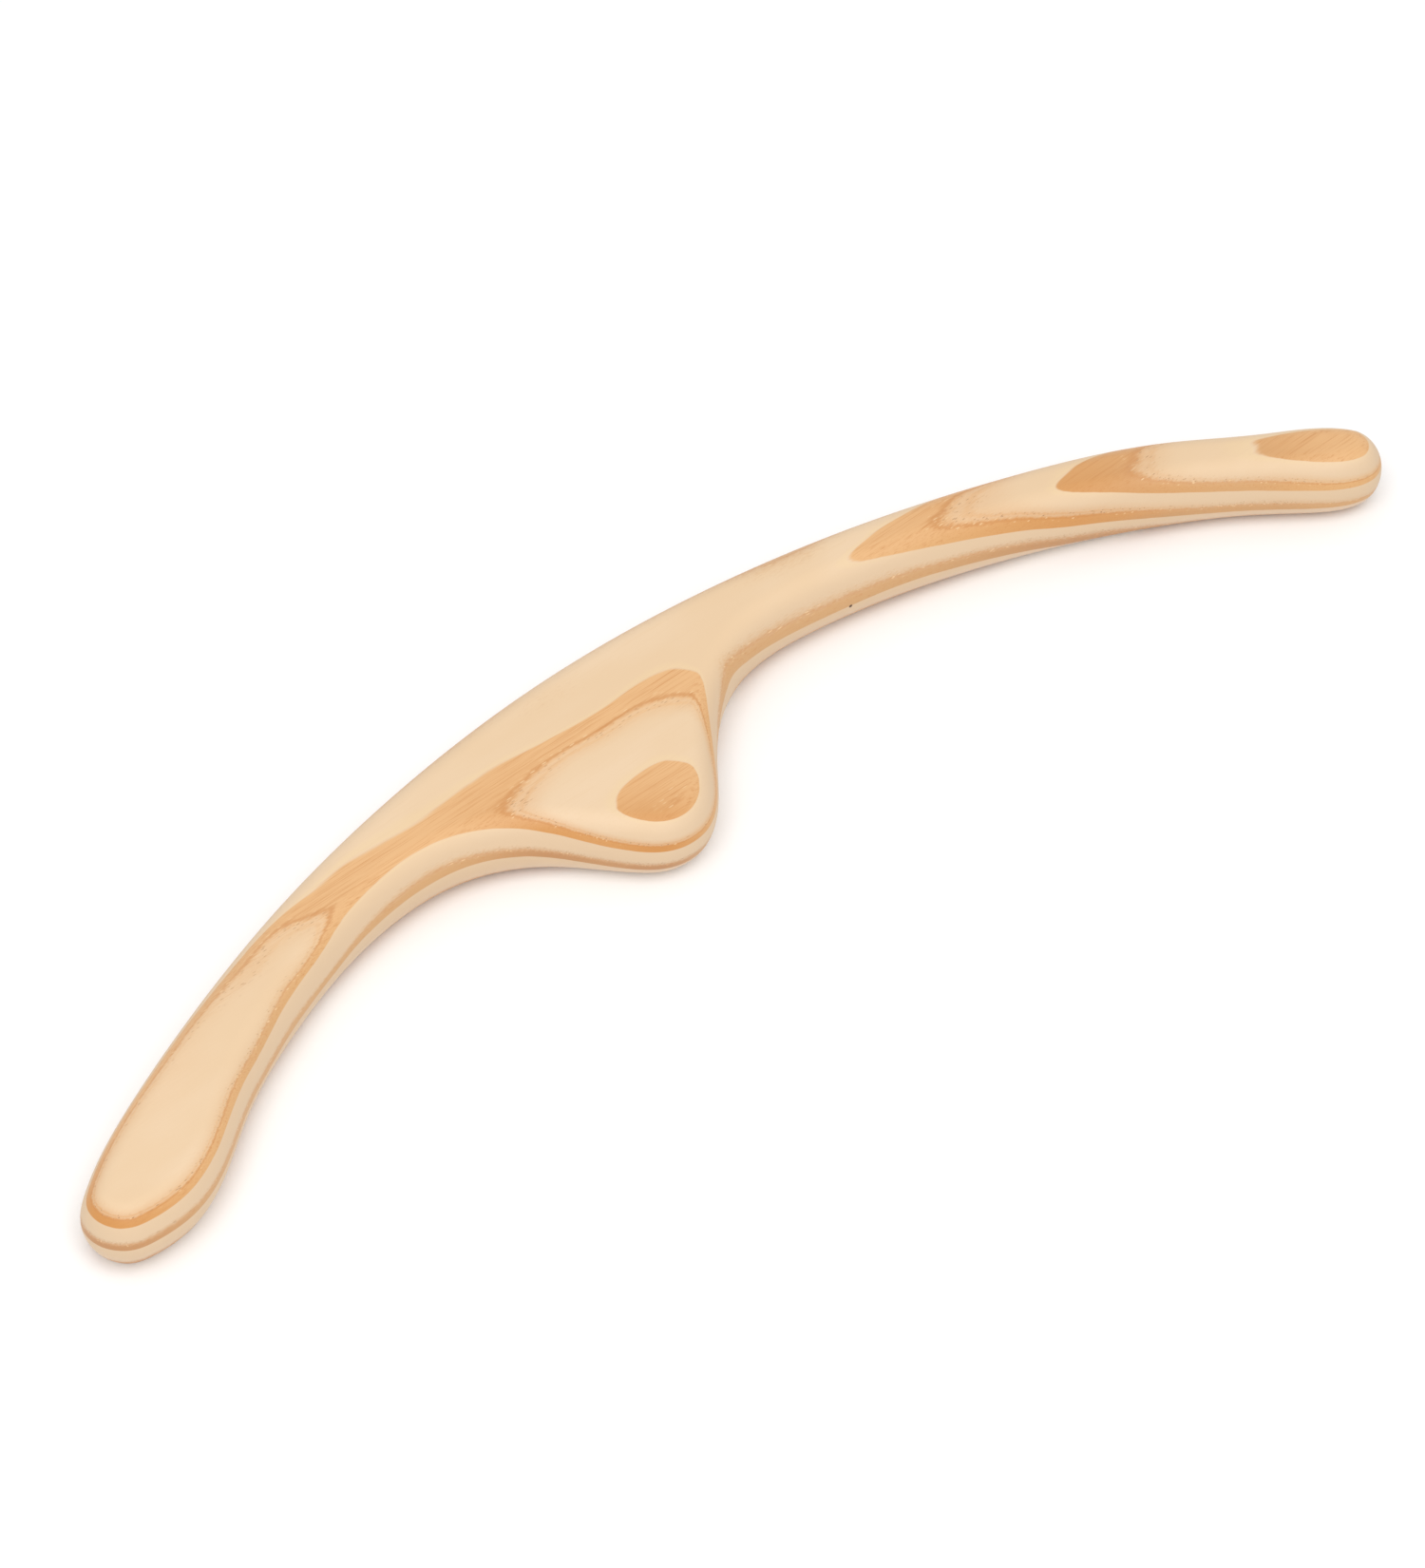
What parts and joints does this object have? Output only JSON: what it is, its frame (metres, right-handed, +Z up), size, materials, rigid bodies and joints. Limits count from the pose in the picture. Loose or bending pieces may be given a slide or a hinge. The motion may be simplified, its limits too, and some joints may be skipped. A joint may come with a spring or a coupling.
{
  "type": "bow-shaped wooden hand tool",
  "caption": "Bow-shaped hand tool carved from solid pine and held by both ends, with long curved arms, rounded paddle ends and a rounded lobe on the hollow side; it carries no blade",
  "frame": {"origin": "centre of the bounding box, on the flat underside", "axes": "+X along the bow from the larger paddle end to the narrower one, +Y from the lobe towards the convex edge, +Z up through the thickness of the board"},
  "size_m": [0.3996, 0.0856, 0.019],
  "materials": {
    "pine": "smooth sanded, clear satin"
  },
  "bodies": {
    "root": {"carved_body": "pine"}
  },
  "joints": []
}
